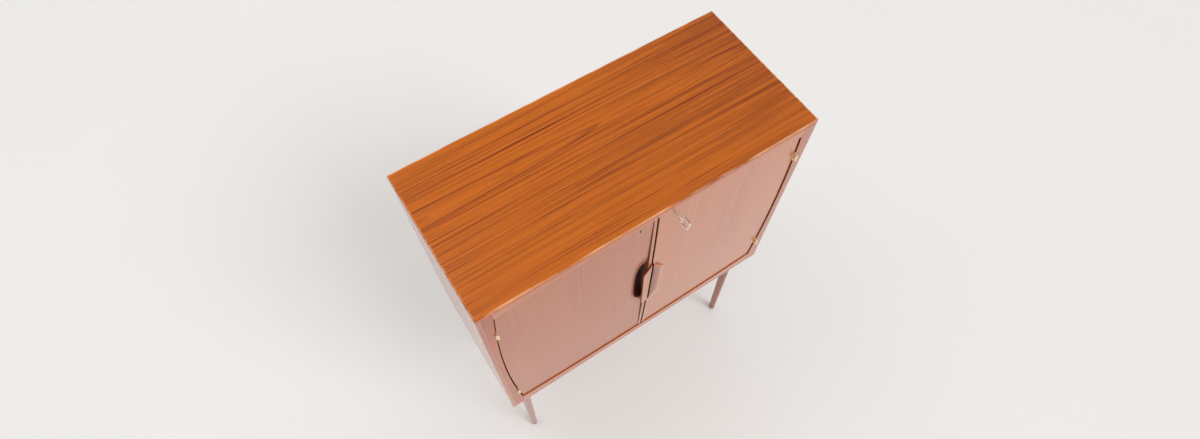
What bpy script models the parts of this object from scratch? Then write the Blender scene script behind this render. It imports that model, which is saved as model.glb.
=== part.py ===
"""Bar cabinet: a mitred teak case on tall turned legs, with two inset doors whose edges are bowed.

Metres, +Z up. The origin is on the floor under the middle of the whole object, the doors face -Y and
+X is to the right of someone standing in front of them.
"""
import math

import bmesh
import bpy
from mathutils import Matrix, Vector

# Case
CASE_WIDTH = 0.900
CASE_DEPTH = 0.404
CASE_HEIGHT = 0.737
PANEL_THICKNESS = 0.018
EDGE_EASE = 0.0015
BACK_THICKNESS = 0.006
BACK_REBATE = 0.008
BACK_INSET = 0.002

# Fits
GLUE_GAP = 0.0003
RUNNING_GAP = 0.0002

# Shaped front frame, let into the case: each piece is thinnest in its middle and widens towards the corners
FRAME_REBATE = 0.006
STILE_MID_WIDTH = 0.010
STILE_BOW = 0.0155
TOP_RAIL_MID_HEIGHT = 0.009
TOP_RAIL_BOW = 0.019
BOTTOM_RAIL_MID_HEIGHT = 0.020
BOTTOM_RAIL_BOW = 0.016
BOW_STEPS = 20

# Doors
DOOR_THICKNESS = 0.020
DOOR_RECESS = 0.003
DOOR_GAP = 0.003
DOOR_BOTTOM_GAP = 0.004
MEETING_GAP = 0.0045
DOOR_EASE = 0.0008

# Strips along the doors' meeting edges, with the two raised halves of the pull and the finger scoop
STRIP_WIDTH = 0.009
STRIP_END_RISE = 0.0015
STRIP_MID_RISE = 0.0060
PULL_DROP = 0.0095
PULL_HEIGHT = 0.228
PULL_RISE = 0.0110
LIP_WIDTH = 0.023
LIP_FOOT_WIDTH = 0.018
LIP_THICKNESS = 0.0065
LIP_SLANT = 0.039
LIP_CORNER = 0.0020
LIP_EASE = 0.0010
SWELL_WIDTH = 0.047
SWELL_EDGE = 0.0007
SWELL_SLOPE = 1.6
SWELL_ROUNDING = 0.110
SWELL_BLUNTNESS = 0.10
SWELL_FALL = 1.4
SWELL_STEPS = 14
SCOOP_HALF_HEIGHT = 0.112
SCOOP_WIDTH = 0.034
SCOOP_DEPTH = 0.0150
SCOOP_RAISE = 0.024
SCOOP_SQUARENESS = 3.0
SCOOP_SECTORS = 40
SCOOP_RINGS = 7

# Knuckle hinges
HINGE_SPREAD = 0.470
HINGE_PROUD = 0.0050
KNUCKLE_RADIUS = 0.0042
KNUCKLE_LENGTH = 0.0085
PIN_RADIUS = 0.0017
PIN_TIP_RADIUS = 0.0030
LEAF_THICKNESS = 0.0016
LEAF_SPACING = 0.0006
LEAF_DEPTH = 0.0150
LEAF_HEIGHT = 0.034

# Locks, one at the top of each door, with a bolt that rises into the top of the case
KEYHOLE_FROM_MIDDLE = 0.046
KEYHOLE_DROP = 0.041
KEYHOLE_RADIUS = 0.0031
KEYHOLE_SLOT_WIDTH = 0.0034
KEYHOLE_SLOT_REACH = 0.0100
LINER_WALL = 0.0009
LINER_DEPTH = 0.008
LINER_RISE = 0.0003
LOCK_PLATE_WIDTH = 0.056
LOCK_PLATE_HEIGHT = 0.046
LOCK_PLATE_THICKNESS = 0.0018
LOCK_CASE_WIDTH = 0.040
LOCK_CASE_HEIGHT = 0.040
LOCK_CASE_DEPTH = 0.0115
LOCK_ABOVE_KEY = 0.017
BOLT_WIDTH = 0.016
BOLT_THICKNESS = 0.0038
BOLT_HEIGHT = 0.020
BOLT_THROW = 0.011
STRIKE_WIDTH = 0.044
STRIKE_DEPTH = 0.012
STRIKE_THICKNESS = 0.0012

# Key in the right-hand lock
KEY_REACH = 0.0475
KEY_TILT = math.radians(32)
KEY_SHANK_RADIUS = 0.0026
KEY_BOW_LENGTH = 0.026
KEY_BOW_WIDTH = 0.021
KEY_BOW_WALL = 0.0045
KEY_BOW_THICKNESS = 0.0030
KEY_BOW_SQUARENESS = 4.5
KEY_BIT_REACH = 0.0080
KEY_BIT_THICKNESS = 0.0022
KEY_BIT_LENGTH = 0.0042
KEY_CAVITY_RADIUS = 0.0092
KEY_CAVITY_DEPTH = 0.0062

# Legs and the aprons that join them under the case
LEG_HEIGHT = 0.493
LEG_TOP_RADIUS = 0.016
LEG_FOOT_RADIUS = 0.0105
LEG_FOOT_EASE = 0.0012
LEG_TOP_FROM_SIDE = 0.055
LEG_TOP_FROM_FACE = 0.048
LEG_SPLAY = 0.0065
APRON_HEIGHT = 0.045
APRON_THICKNESS = 0.018
BASE_SCREW_SPREAD = 0.440
BASE_SCREW_RADIUS = 0.0023
BASE_SCREW_HEAD = 0.0045
BASE_SCREW_COUNTERBORE = 0.012
BASE_SCREW_BITE = 0.012

# Inside
PARTITION_THICKNESS = 0.016
SHELF_THICKNESS = 0.016
SHELF_HEIGHT = 0.350
SHELF_SETBACK = 0.030
SHELF_PLAY = 0.001
SHELF_PIN_RADIUS = 0.0025
SHELF_PIN_IN = 0.0080
SHELF_PIN_OUT = 0.0090
SHELF_PIN_FROM_EDGE = 0.045
SHELF_HOLE_PITCH = 0.064
SHELF_HOLE_ROWS = 3

ROUND_STEPS = 20
SCREW_STEPS = 10

# Places worked out from the sizes above
FRONT_Y = (KEY_REACH - CASE_DEPTH) / 2
BACK_Y = FRONT_Y + CASE_DEPTH
DOOR_FRONT_Y = FRONT_Y + DOOR_RECESS
DOOR_BACK_Y = DOOR_FRONT_Y + DOOR_THICKNESS
HALF_WIDTH = CASE_WIDTH / 2
CASE_BOTTOM = LEG_HEIGHT
CASE_TOP = LEG_HEIGHT + CASE_HEIGHT
INNER_HALF = HALF_WIDTH - PANEL_THICKNESS
INNER_BOTTOM = CASE_BOTTOM + PANEL_THICKNESS
INNER_TOP = CASE_TOP - PANEL_THICKNESS
FRAME_HALF = INNER_HALF + FRAME_REBATE
FRAME_LOW = INNER_BOTTOM - FRAME_REBATE
FRAME_HIGH = INNER_TOP + FRAME_REBATE
OPENING_HALF_WIDTH = FRAME_HALF - STILE_MID_WIDTH - STILE_BOW
OPENING_LOW = FRAME_LOW + BOTTOM_RAIL_MID_HEIGHT + BOTTOM_RAIL_BOW
OPENING_HIGH = FRAME_HIGH - TOP_RAIL_MID_HEIGHT - TOP_RAIL_BOW
OPENING_MID = (OPENING_LOW + OPENING_HIGH) / 2
OPENING_HALF_HEIGHT = (OPENING_HIGH - OPENING_LOW) / 2
PULL_Z = OPENING_MID - PULL_DROP
BACK_PANEL_Y = BACK_Y - BACK_INSET - BACK_THICKNESS
KEYHOLE_Z = CASE_TOP - KEYHOLE_DROP
LOCK_TOP = KEYHOLE_Z + LOCK_ABOVE_KEY
LOCK_FRONT_Y = DOOR_BACK_Y + GLUE_GAP
BOLT_Y = LOCK_FRONT_Y + KEY_CAVITY_DEPTH + RUNNING_GAP
BOLT_TOP = LOCK_TOP - GLUE_GAP
SHELF_Z = INNER_BOTTOM + SHELF_HEIGHT
SIDES = {"left": -1, "right": 1}
LEVELS = {"upper": 1, "lower": -1}


def srgb(red, green, blue):
    """Linear colour from 0 to 255 display values."""
    return tuple(((c / 255 + 0.055) / 1.055) ** 2.4 for c in (red, green, blue)) + (1.0,)


FINISHES = {
    "teak": (srgb(178, 96, 44), 0.42, 0.0),
    "teak_front": (srgb(176, 104, 68), 0.40, 0.0),
    "board": (srgb(172, 112, 66), 0.55, 0.0),
    "plywood": (srgb(190, 150, 104), 0.65, 0.0),
    "brass": (srgb(196, 160, 92), 0.30, 1.0),
    "nickel": (srgb(190, 186, 176), 0.28, 1.0),
    "steel": (srgb(150, 150, 150), 0.40, 1.0),
}


# Scene and mesh helpers

def clear_scene():
    for obj in list(bpy.data.objects):
        bpy.data.objects.remove(obj, do_unlink=True)


def finish_material(name, finish):
    colour, roughness, metallic = FINISHES[finish]
    material = bpy.data.materials.new(name)
    material.use_nodes = True
    shader = material.node_tree.nodes["Principled BSDF"]
    shader.inputs["Base Color"].default_value = colour
    shader.inputs["Roughness"].default_value = roughness
    shader.inputs["Metallic"].default_value = metallic
    material.diffuse_color = colour
    return material


def axis_empty(name, place):
    empty = bpy.data.objects.new(name, None)
    empty.location = place
    bpy.context.collection.objects.link(empty)
    return empty


def add_object(name, bm, parent=None):
    """Turns a mesh drawn in world places into an object whose origin is its parent's axis."""
    origin = Vector(parent.location) if parent else Vector()
    bmesh.ops.recalc_face_normals(bm, faces=bm.faces)
    bmesh.ops.translate(bm, vec=-origin, verts=bm.verts)
    mesh = bpy.data.meshes.new(name)
    bm.to_mesh(mesh)
    bm.free()
    obj = bpy.data.objects.new(name, mesh)
    bpy.context.collection.objects.link(obj)
    obj.parent = parent
    return obj


def add_part(name, bm, finish, parent=None, smooth=False):
    obj = add_object(name, bm, parent)
    obj.data.materials.append(finish_material(name, finish))
    if smooth:
        obj.data.shade_smooth()
        obj.data.set_sharp_from_angle(angle=math.radians(35))
    return obj


def add_tool(name, bm, parent=None):
    """A cutting or joining shape, which is not a piece of the cabinet."""
    obj = add_object(name, bm, parent)
    obj.hide_render = True
    obj.display_type = "WIRE"
    return obj


def combine(obj, tool, operation):
    modifier = obj.modifiers.new(tool.name, "BOOLEAN")
    modifier.operation = operation
    modifier.solver = "EXACT"
    modifier.object = tool


def cut(obj, *tools):
    for tool in tools:
        combine(obj, tool, "DIFFERENCE")


def loft(bm, rings):
    """Skins a list of rings of equal count and caps both ends."""
    rows = [[bm.verts.new(point) for point in ring] for ring in rings]
    count = len(rows[0])
    for near, far in zip(rows, rows[1:]):
        for i in range(count):
            j = (i + 1) % count
            bm.faces.new((near[i], near[j], far[j], far[i]))
    bm.faces.new(list(reversed(rows[0])))
    bm.faces.new(rows[-1])


def add_box(bm, low, high):
    corners = [(0, 0), (1, 0), (1, 1), (0, 1)]
    spans = (low, high)
    rings = [[(spans[i][0], spans[j][1], spans[k][2]) for i, j in corners] for k in (0, 1)]
    loft(bm, rings)


def box(low, high):
    bm = bmesh.new()
    add_box(bm, low, high)
    return bm


def prism_y(outline, near, far):
    """A flat shape given in x and z, standing from one depth to another."""
    bm = bmesh.new()
    loft(bm, [[(x, y, z) for x, z in outline] for y in (near, far)])
    return bm


def add_round(bm, profile, matrix, steps):
    """Turns (radius, height) pairs round the local Z axis."""
    turns = [2 * math.pi * i / steps for i in range(steps)]
    rings = [[matrix @ Vector((r * math.cos(a), r * math.sin(a), h)) for a in turns] for r, h in profile]
    loft(bm, rings)


def aim(place, direction):
    """Places a turned piece so that its local Z runs along a direction."""
    turn = Vector(direction).to_track_quat("Z", "Y").to_matrix().to_4x4()
    return Matrix.Translation(place) @ turn


def ease_face(bm, direction, width, steps=2):
    """Rounds the border of the flat face that looks along a direction."""
    bm.normal_update()
    bmesh.ops.recalc_face_normals(bm, faces=bm.faces)
    faces = [f for f in bm.faces if f.normal.dot(Vector(direction)) > 0.999]
    edges = list({e for f in faces for e in f.edges})
    bmesh.ops.bevel(bm, geom=edges, offset=width, segments=steps, profile=0.5, affect="EDGES")


def screw_profile(length, radius, head, spare=0.0):
    """Countersunk wood screw from its head at 0 up to its point; spare widens it into a hole."""
    cone = head - radius
    return [(head + spare, -spare), (head + spare, 0.0002), (radius + spare, cone),
            (radius + spare, length - 2 * radius), (radius * 0.4 + spare, length + spare)]


# Bowed opening

def bow(share, depth):
    return depth * (1 - share * share)


def stile_edge(z):
    """Half width of the opening at a height."""
    return OPENING_HALF_WIDTH + bow((z - OPENING_MID) / OPENING_HALF_HEIGHT, STILE_BOW)


def top_edge(x):
    return OPENING_HIGH + bow(x / OPENING_HALF_WIDTH, TOP_RAIL_BOW)


def bottom_edge(x):
    return OPENING_LOW - bow(x / OPENING_HALF_WIDTH, BOTTOM_RAIL_BOW)


def spread(low, high, steps):
    return [low + (high - low) * i / steps for i in range(steps + 1)]


def door_outline(side, inner):
    """Door shape from its meeting edge, at distance inner from the middle, to its bowed hinge edge."""
    low, high = OPENING_LOW + DOOR_BOTTOM_GAP, OPENING_HIGH - DOOR_GAP
    outer_low, outer_high = stile_edge(low) - DOOR_GAP, stile_edge(high) - DOOR_GAP
    points = [(x, bottom_edge(x) + DOOR_BOTTOM_GAP) for x in spread(inner, outer_low, BOW_STEPS)[:-1]]
    points += [(stile_edge(z) - DOOR_GAP, z) for z in spread(low, high, BOW_STEPS)]
    points += [(x, top_edge(x) - DOOR_GAP) for x in spread(outer_high, inner, BOW_STEPS)[1:]]
    return [(side * x, z) for x, z in points]


# Case

def case_panel(name, place, turn, span, outward):
    """One mitred board, drawn flat with its outer face up, then turned into its place."""
    slip = GLUE_GAP / math.sqrt(2)
    long_half, short_half = span / 2 - slip, span / 2 - PANEL_THICKNESS - slip
    under = -PANEL_THICKNESS
    outline = [(-long_half, 0), (long_half, 0), (short_half, under), (-short_half, under)]
    bm = prism_y(outline, FRONT_Y, BACK_Y)
    placed = Matrix.Translation(place) @ Matrix.Rotation(turn, 4, "Y")
    bmesh.ops.transform(bm, matrix=placed, verts=bm.verts)
    ease_face(bm, outward, EDGE_EASE)
    return add_part(name, bm, "teak")


def build_case():
    middle = (CASE_TOP + CASE_BOTTOM) / 2
    quarter = math.pi / 2
    panels = {
        "top_panel": case_panel("top_panel", (0, 0, CASE_TOP), 0, CASE_WIDTH, (0, 0, 1)),
        "bottom_panel": case_panel("bottom_panel", (0, 0, CASE_BOTTOM), math.pi, CASE_WIDTH, (0, 0, -1)),
    }
    for word, side in SIDES.items():
        name = word + "_side_panel"
        place = (side * HALF_WIDTH, 0, middle)
        panels[name] = case_panel(name, place, side * quarter, CASE_HEIGHT, (side, 0, 0))
    reach = INNER_HALF + BACK_REBATE
    low, high = INNER_BOTTOM - BACK_REBATE, INNER_TOP + BACK_REBATE
    room = box((-reach, BACK_PANEL_Y - GLUE_GAP, low), (reach, BACK_Y + 0.01, high))
    back_rebate = add_tool("back_rebate", room)
    room = box((-FRAME_HALF, FRONT_Y - 0.01, FRAME_LOW), (FRAME_HALF, DOOR_BACK_Y + GLUE_GAP, FRAME_HIGH))
    front_rebate = add_tool("front_rebate", room)
    for panel in panels.values():
        cut(panel, back_rebate, front_rebate)
    reach, low, high = reach - GLUE_GAP, low + GLUE_GAP, high - GLUE_GAP
    back = box((-reach, BACK_PANEL_Y, low), (reach, BACK_PANEL_Y + BACK_THICKNESS, high))
    add_part("back_panel", back, "plywood")
    return panels


def build_front_frame():
    frame = {}
    low, high = FRAME_LOW + GLUE_GAP, FRAME_HIGH - GLUE_GAP
    for word, side in SIDES.items():
        outer = FRAME_HALF - GLUE_GAP
        points = [(outer, high), (outer, low), (OPENING_HALF_WIDTH, low)]
        points += [(stile_edge(z), z) for z in spread(OPENING_LOW, OPENING_HIGH, BOW_STEPS)]
        points.append((OPENING_HALF_WIDTH, high))
        outline = [(side * x, z) for x, z in points]
        frame[word] = add_part(word + "_front_stile", prism_y(outline, FRONT_Y, DOOR_BACK_Y), "teak_front")
    end = OPENING_HALF_WIDTH - GLUE_GAP
    across = spread(-end, end, 2 * BOW_STEPS)
    top = [(x, top_edge(x)) for x in across] + [(end, high), (-end, high)]
    bottom = [(x, bottom_edge(x)) for x in across] + [(end, low), (-end, low)]
    add_part("top_front_rail", prism_y(top, FRONT_Y, DOOR_BACK_Y), "teak_front")
    add_part("bottom_front_rail", prism_y(bottom, FRONT_Y, DOOR_BACK_Y), "teak_front")
    return frame


# Doors

def scoop_tool(inner, parent):
    """A squared oval hollow in the left door behind the lip, deepest beside the strip."""
    power = 2 / SCOOP_SQUARENESS
    rings = []
    for i in range(SCOOP_RINGS + 1):
        slope = math.pi / 2 * i / (SCOOP_RINGS + 0.35)
        size, y = math.cos(slope), DOOR_FRONT_Y + SCOOP_DEPTH * math.sin(slope)
        ring = []
        for j in range(SCOOP_SECTORS):
            c, s = math.cos(2 * math.pi * j / SCOOP_SECTORS), math.sin(2 * math.pi * j / SCOOP_SECTORS)
            across = math.copysign(abs(c) ** power, c) * SCOOP_WIDTH * size
            up = math.copysign(abs(s) ** power, s) * SCOOP_HALF_HEIGHT * size
            ring.append((across - inner, y, PULL_Z + SCOOP_RAISE + up))
        rings.append(ring)
    rings.insert(0, [(x, y - SCOOP_DEPTH, z) for x, y, z in rings[0]])
    bm = bmesh.new()
    loft(bm, rings)
    return add_tool("scoop", bm, parent)


def build_strip(name, side, parent):
    """Solid strip along a door's meeting edge, which swells forward towards its middle."""
    left, right = sorted((side * MEETING_GAP / 2, side * (MEETING_GAP / 2 + STRIP_WIDTH)))
    top = top_edge(MEETING_GAP / 2 + STRIP_WIDTH) - DOOR_GAP
    bottom = bottom_edge(MEETING_GAP / 2 + STRIP_WIDTH) + DOOR_BOTTOM_GAP
    middle, half = (top + bottom) / 2, (top - bottom) / 2
    rings = []
    for z in spread(bottom, top, 2 * BOW_STEPS):
        front = DOOR_FRONT_Y - STRIP_END_RISE - bow((z - middle) / half, STRIP_MID_RISE - STRIP_END_RISE)
        ease = STRIP_END_RISE / 2
        section = [(left, DOOR_BACK_Y), (right, DOOR_BACK_Y), (right, front + ease), (right - ease, front),
                   (left + ease, front), (left, front + ease)]
        rings.append([(x, y, z) for x, y in section])
    bm = bmesh.new()
    loft(bm, rings)
    return add_part(name, bm, "teak_front", parent)


def pull_lip(parent):
    """Left half of the pull: a lip that fingers reach behind, cut to a slant at its top."""
    right = -MEETING_GAP / 2 - RUNNING_GAP
    left, foot = -MEETING_GAP / 2 - LIP_WIDTH, -MEETING_GAP / 2 - LIP_FOOT_WIDTH
    half = PULL_HEIGHT / 2
    outline = [(right, -half), (right, half), (right - LIP_CORNER, half), (left, half - LIP_SLANT),
               (foot, LIP_CORNER - half), (foot + LIP_CORNER, -half)]
    front = DOOR_FRONT_Y - PULL_RISE
    bm = prism_y([(x, PULL_Z + z) for x, z in outline], front, front + LIP_THICKNESS)
    ease_face(bm, (0, -1, 0), LIP_EASE)
    return add_tool("pull_lip", bm, parent)


def pull_swell(parent):
    """Right half of the pull: level with the lip along the gap, falling away to the door on its right."""
    left = MEETING_GAP / 2 + RUNNING_GAP
    base = DOOR_FRONT_Y - GLUE_GAP
    low = PULL_Z - PULL_HEIGHT / 2
    rings = []
    for rise in spread(0, PULL_HEIGHT, SWELL_STEPS):
        share = min(SWELL_BLUNTNESS + rise / SWELL_ROUNDING, 1)
        reach = SWELL_WIDTH * math.sqrt(1 - (1 - share) ** 2)
        section = [(left + reach, base), (left, base)]
        for t in spread(0, 1, SWELL_STEPS):
            height = SWELL_EDGE + (PULL_RISE - SWELL_EDGE) * (1 - t) ** SWELL_FALL
            section.append((left + reach * t, DOOR_FRONT_Y - height))
        rings.append([(x, y, low + rise - SWELL_SLOPE * (x - left)) for x, y in section])
    bm = bmesh.new()
    loft(bm, rings)
    return add_tool("pull_swell", bm, parent)


def build_door(word, side, inner, parent):
    bm = prism_y(door_outline(side, inner), DOOR_FRONT_Y, DOOR_BACK_Y)
    ease_face(bm, (0, -1, 0), DOOR_EASE, steps=1)
    return add_part(word + "_door_panel", bm, "teak_front", parent)


# Hinges

def hinge_heights():
    return {word: OPENING_MID + sign * HINGE_SPREAD / 2 for word, sign in LEVELS.items()}


def hinge_axis_x():
    """Distance of the hinge axis from the middle: half way across the door gap at the hinges."""
    return stile_edge(OPENING_MID + HINGE_SPREAD / 2) - DOOR_GAP / 2


def knuckle(bm, axis, low, high):
    """A tube with softly rounded outer rims, bored for the pin."""
    soft = KNUCKLE_RADIUS * 0.25
    bore = PIN_RADIUS + RUNNING_GAP
    profile = [(bore, low), (KNUCKLE_RADIUS - soft, low), (KNUCKLE_RADIUS, low + soft),
               (KNUCKLE_RADIUS, high - soft), (KNUCKLE_RADIUS - soft, high), (bore, high)]
    turns = [2 * math.pi * i / ROUND_STEPS for i in range(ROUND_STEPS)]
    rows = [[bm.verts.new((axis.x + r * math.cos(a), axis.y + r * math.sin(a), axis.z + h)) for a in turns]
            for r, h in profile]
    for near, far in zip(rows, rows[1:] + rows[:1]):
        for i in range(ROUND_STEPS):
            j = (i + 1) % ROUND_STEPS
            bm.faces.new((near[i], near[j], far[j], far[i]))


def leaf_plate(name, axis, away, low, high, parent):
    """Flat leaf in the door gap and the tab that joins it to its knuckle, cut from one sheet."""
    near = axis.x + away * LEAF_SPACING / 2
    far = near + away * LEAF_THICKNESS
    inside = axis.y + PIN_RADIUS + RUNNING_GAP + (KNUCKLE_RADIUS - PIN_RADIUS) / 2
    plate_front, plate_back = FRONT_Y + GLUE_GAP, FRONT_Y + LEAF_DEPTH
    half = LEAF_HEIGHT / 2
    outline = [(inside, low), (plate_front, low), (plate_front, -half), (plate_back, -half),
               (plate_back, half), (plate_front, half), (plate_front, high), (inside, high)]
    bm = bmesh.new()
    loft(bm, [[(x, y, axis.z + z) for y, z in outline] for x in (near, far)])
    return add_tool(name, bm, parent)


def leaf_mortise(bm, axis, away):
    """Room for one leaf in the wood beside the gap."""
    sunk = LEAF_SPACING / 2 + LEAF_THICKNESS + GLUE_GAP
    ends = sorted((axis.x - away * DOOR_GAP / 2, axis.x + away * sunk))
    half = LEAF_HEIGHT / 2 + GLUE_GAP
    add_box(bm, (ends[0], FRONT_Y - GLUE_GAP * 2, axis.z - half),
            (ends[1], FRONT_Y + LEAF_DEPTH + GLUE_GAP, axis.z + half))


def build_leaf(name, axis, away, low, high, parent):
    bm = bmesh.new()
    knuckle(bm, axis, low, high)
    leaf = add_part(name, bm, "brass", parent, smooth=True)
    combine(leaf, leaf_plate(name + "_plate", axis, away, low, high, parent), "UNION")


def build_pin(name, axis):
    """Hinge pin with a rounded tip standing out at each end."""
    reach = KNUCKLE_LENGTH + RUNNING_GAP * 2
    slopes = spread(0, math.radians(75), 4)
    tip = [(PIN_TIP_RADIUS * math.cos(a), PIN_TIP_RADIUS * math.sin(a)) for a in slopes]
    upper = [(r, reach + h) for r, h in tip]
    lower = [(r, -h) for r, h in reversed(upper)]
    profile = lower + [(PIN_RADIUS, -reach), (PIN_RADIUS, reach)] + upper
    bm = bmesh.new()
    add_round(bm, profile, Matrix.Translation(axis), ROUND_STEPS)
    add_part(name, bm, "brass", smooth=True)


def build_hinges(word, side, wood, parent):
    """Two hinges of one door. wood maps case and door to the pieces that their leaves are let into."""
    x, y = side * hinge_axis_x(), FRONT_Y - HINGE_PROUD
    axes = {level: Vector((x, y, z)) for level, z in hinge_heights().items()}
    lengths = {"case": (-KNUCKLE_LENGTH, -RUNNING_GAP), "door": (RUNNING_GAP, KNUCKLE_LENGTH)}
    for owner, away, carrier in (("case", side, None), ("door", -side, parent)):
        mortises = bmesh.new()
        for level, axis in axes.items():
            leaf_mortise(mortises, axis, away)
            build_leaf(f"{word}_{level}_hinge_{owner}_leaf", axis, away, *lengths[owner], carrier)
        cut(wood[owner], add_tool(f"{word}_{owner}_mortises", mortises, carrier))
    for level, axis in axes.items():
        build_pin(f"{word}_{level}_hinge_pin", axis)


# Locks and key

def keyhole_outline(x, spare=0.0):
    """Round hole with a slot below it, widened all round by spare."""
    radius = KEYHOLE_RADIUS + spare
    half = KEYHOLE_SLOT_WIDTH / 2 + spare
    start = math.asin(half / radius)
    turns = spread(-math.pi / 2 + start, 1.5 * math.pi - start, ROUND_STEPS)
    points = [(x + radius * math.cos(a), KEYHOLE_Z + radius * math.sin(a)) for a in turns]
    foot = KEYHOLE_Z - KEYHOLE_SLOT_REACH - spare + half
    points += [(x - half * math.cos(a), foot - half * math.sin(a)) for a in spread(0, math.pi, 6)]
    return points


def build_liner(word, x, parent):
    """Thin metal lining of the keyhole, a hair proud of the door."""
    inner, outer = keyhole_outline(x), keyhole_outline(x, LINER_WALL)
    near, far = DOOR_FRONT_Y - LINER_RISE, DOOR_FRONT_Y + LINER_DEPTH
    loops = [(outer, near), (outer, far), (inner, far), (inner, near)]
    bm = bmesh.new()
    rows = [[bm.verts.new((px, y, pz)) for px, pz in outline] for outline, y in loops]
    count = len(inner)
    for this, following in zip(rows, rows[1:] + rows[:1]):
        for i in range(count):
            j = (i + 1) % count
            bm.faces.new((this[i], this[j], following[j], following[i]))
    add_part(word + "_keyhole_liner", bm, "brass", parent)


def build_lock(word, side, door, parent):
    """Lock screwed to the back of a door, its bolt and the keyhole through the door."""
    x = side * KEYHOLE_FROM_MIDDLE
    plate_back = LOCK_FRONT_Y + LOCK_PLATE_THICKNESS
    plate_half, plate_low = LOCK_PLATE_WIDTH / 2, LOCK_TOP - LOCK_PLATE_HEIGHT
    body = add_part(word + "_lock_body", box((x - plate_half, LOCK_FRONT_Y, plate_low),
                                             (x + plate_half, plate_back, LOCK_TOP)), "steel", parent)
    half = LOCK_CASE_WIDTH / 2
    case = box((x - half, LOCK_FRONT_Y + LOCK_PLATE_THICKNESS / 2, LOCK_TOP - LOCK_CASE_HEIGHT),
               (x + half, LOCK_FRONT_Y + LOCK_CASE_DEPTH, LOCK_TOP))
    combine(body, add_tool(word + "_lock_case", case, parent), "UNION")
    cavity = bmesh.new()
    profile = [(KEY_CAVITY_RADIUS, -0.01), (KEY_CAVITY_RADIUS, KEY_CAVITY_DEPTH)]
    add_round(cavity, profile, aim((x, LOCK_FRONT_Y, KEYHOLE_Z), (0, 1, 0)), 2 * ROUND_STEPS)
    bolt_half = BOLT_WIDTH / 2
    low = BOLT_TOP - BOLT_HEIGHT
    play = RUNNING_GAP
    channel = box((x - bolt_half - play, BOLT_Y - play * 2, low - play),
                  (x + bolt_half + play, BOLT_Y + BOLT_THICKNESS + play, LOCK_TOP + 0.01))
    cut(body, add_tool(word + "_key_cavity", cavity, parent))
    cut(body, add_tool(word + "_bolt_channel", channel, parent))
    bolt = box((x - bolt_half, BOLT_Y, low), (x + bolt_half, BOLT_Y + BOLT_THICKNESS, BOLT_TOP))
    bolt_axis = axis_empty(word + "_bolt_axis", (x, BOLT_Y, BOLT_TOP))
    add_part(word + "_lock_bolt", bolt, "brass", bolt_axis)
    front = FRONT_Y - 0.01
    keyhole = prism_y(keyhole_outline(x), front, DOOR_BACK_Y + 0.01)
    cut(door, add_tool(word + "_keyhole", keyhole, parent))
    socket = prism_y(keyhole_outline(x, LINER_WALL + GLUE_GAP), front, DOOR_FRONT_Y + LINER_DEPTH + GLUE_GAP)
    cut(door, add_tool(word + "_liner_socket", socket, parent))
    build_liner(word, x, parent)


def build_strikes(top_panel):
    """Plates let into the underside of the top, which the bolts rise through."""
    middle_y = BOLT_Y + BOLT_THICKNESS / 2
    reach_x, reach_y = STRIKE_WIDTH / 2, STRIKE_DEPTH / 2
    slot_x, slot_y = BOLT_WIDTH / 2 + DOOR_GAP / 2, BOLT_THICKNESS / 2 + DOOR_GAP / 2
    tip = BOLT_TOP + BOLT_THROW + DOOR_GAP / 2
    seats, slots, plates = bmesh.new(), bmesh.new(), []
    for word, side in SIDES.items():
        x = side * KEYHOLE_FROM_MIDDLE
        low, high = INNER_TOP, INNER_TOP + STRIKE_THICKNESS
        add_box(seats, (x - reach_x - GLUE_GAP, middle_y - reach_y - GLUE_GAP, low - 0.001),
                (x + reach_x + GLUE_GAP, middle_y + reach_y + GLUE_GAP, high + GLUE_GAP))
        add_box(slots, (x - slot_x, middle_y - slot_y, low - 0.002), (x + slot_x, middle_y + slot_y, tip))
        plate = box((x - reach_x, middle_y - reach_y, low), (x + reach_x, middle_y + reach_y, high))
        plates.append(add_part(word + "_strike_plate", plate, "brass"))
    slot = add_tool("bolt_slots", slots)
    cut(top_panel, add_tool("strike_seats", seats), slot)
    for plate in plates:
        cut(plate, slot)


def oval(half_long, half_wide, count):
    """A squared oval in the plane of the key's bow, as (along, across) pairs."""
    power = 2 / KEY_BOW_SQUARENESS
    points = []
    for i in range(count):
        c, s = math.cos(2 * math.pi * i / count), math.sin(2 * math.pi * i / count)
        along = math.copysign(abs(c) ** power, c) * half_long
        across = math.copysign(abs(s) ** power, s) * half_wide
        points.append((along, across))
    return points


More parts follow.
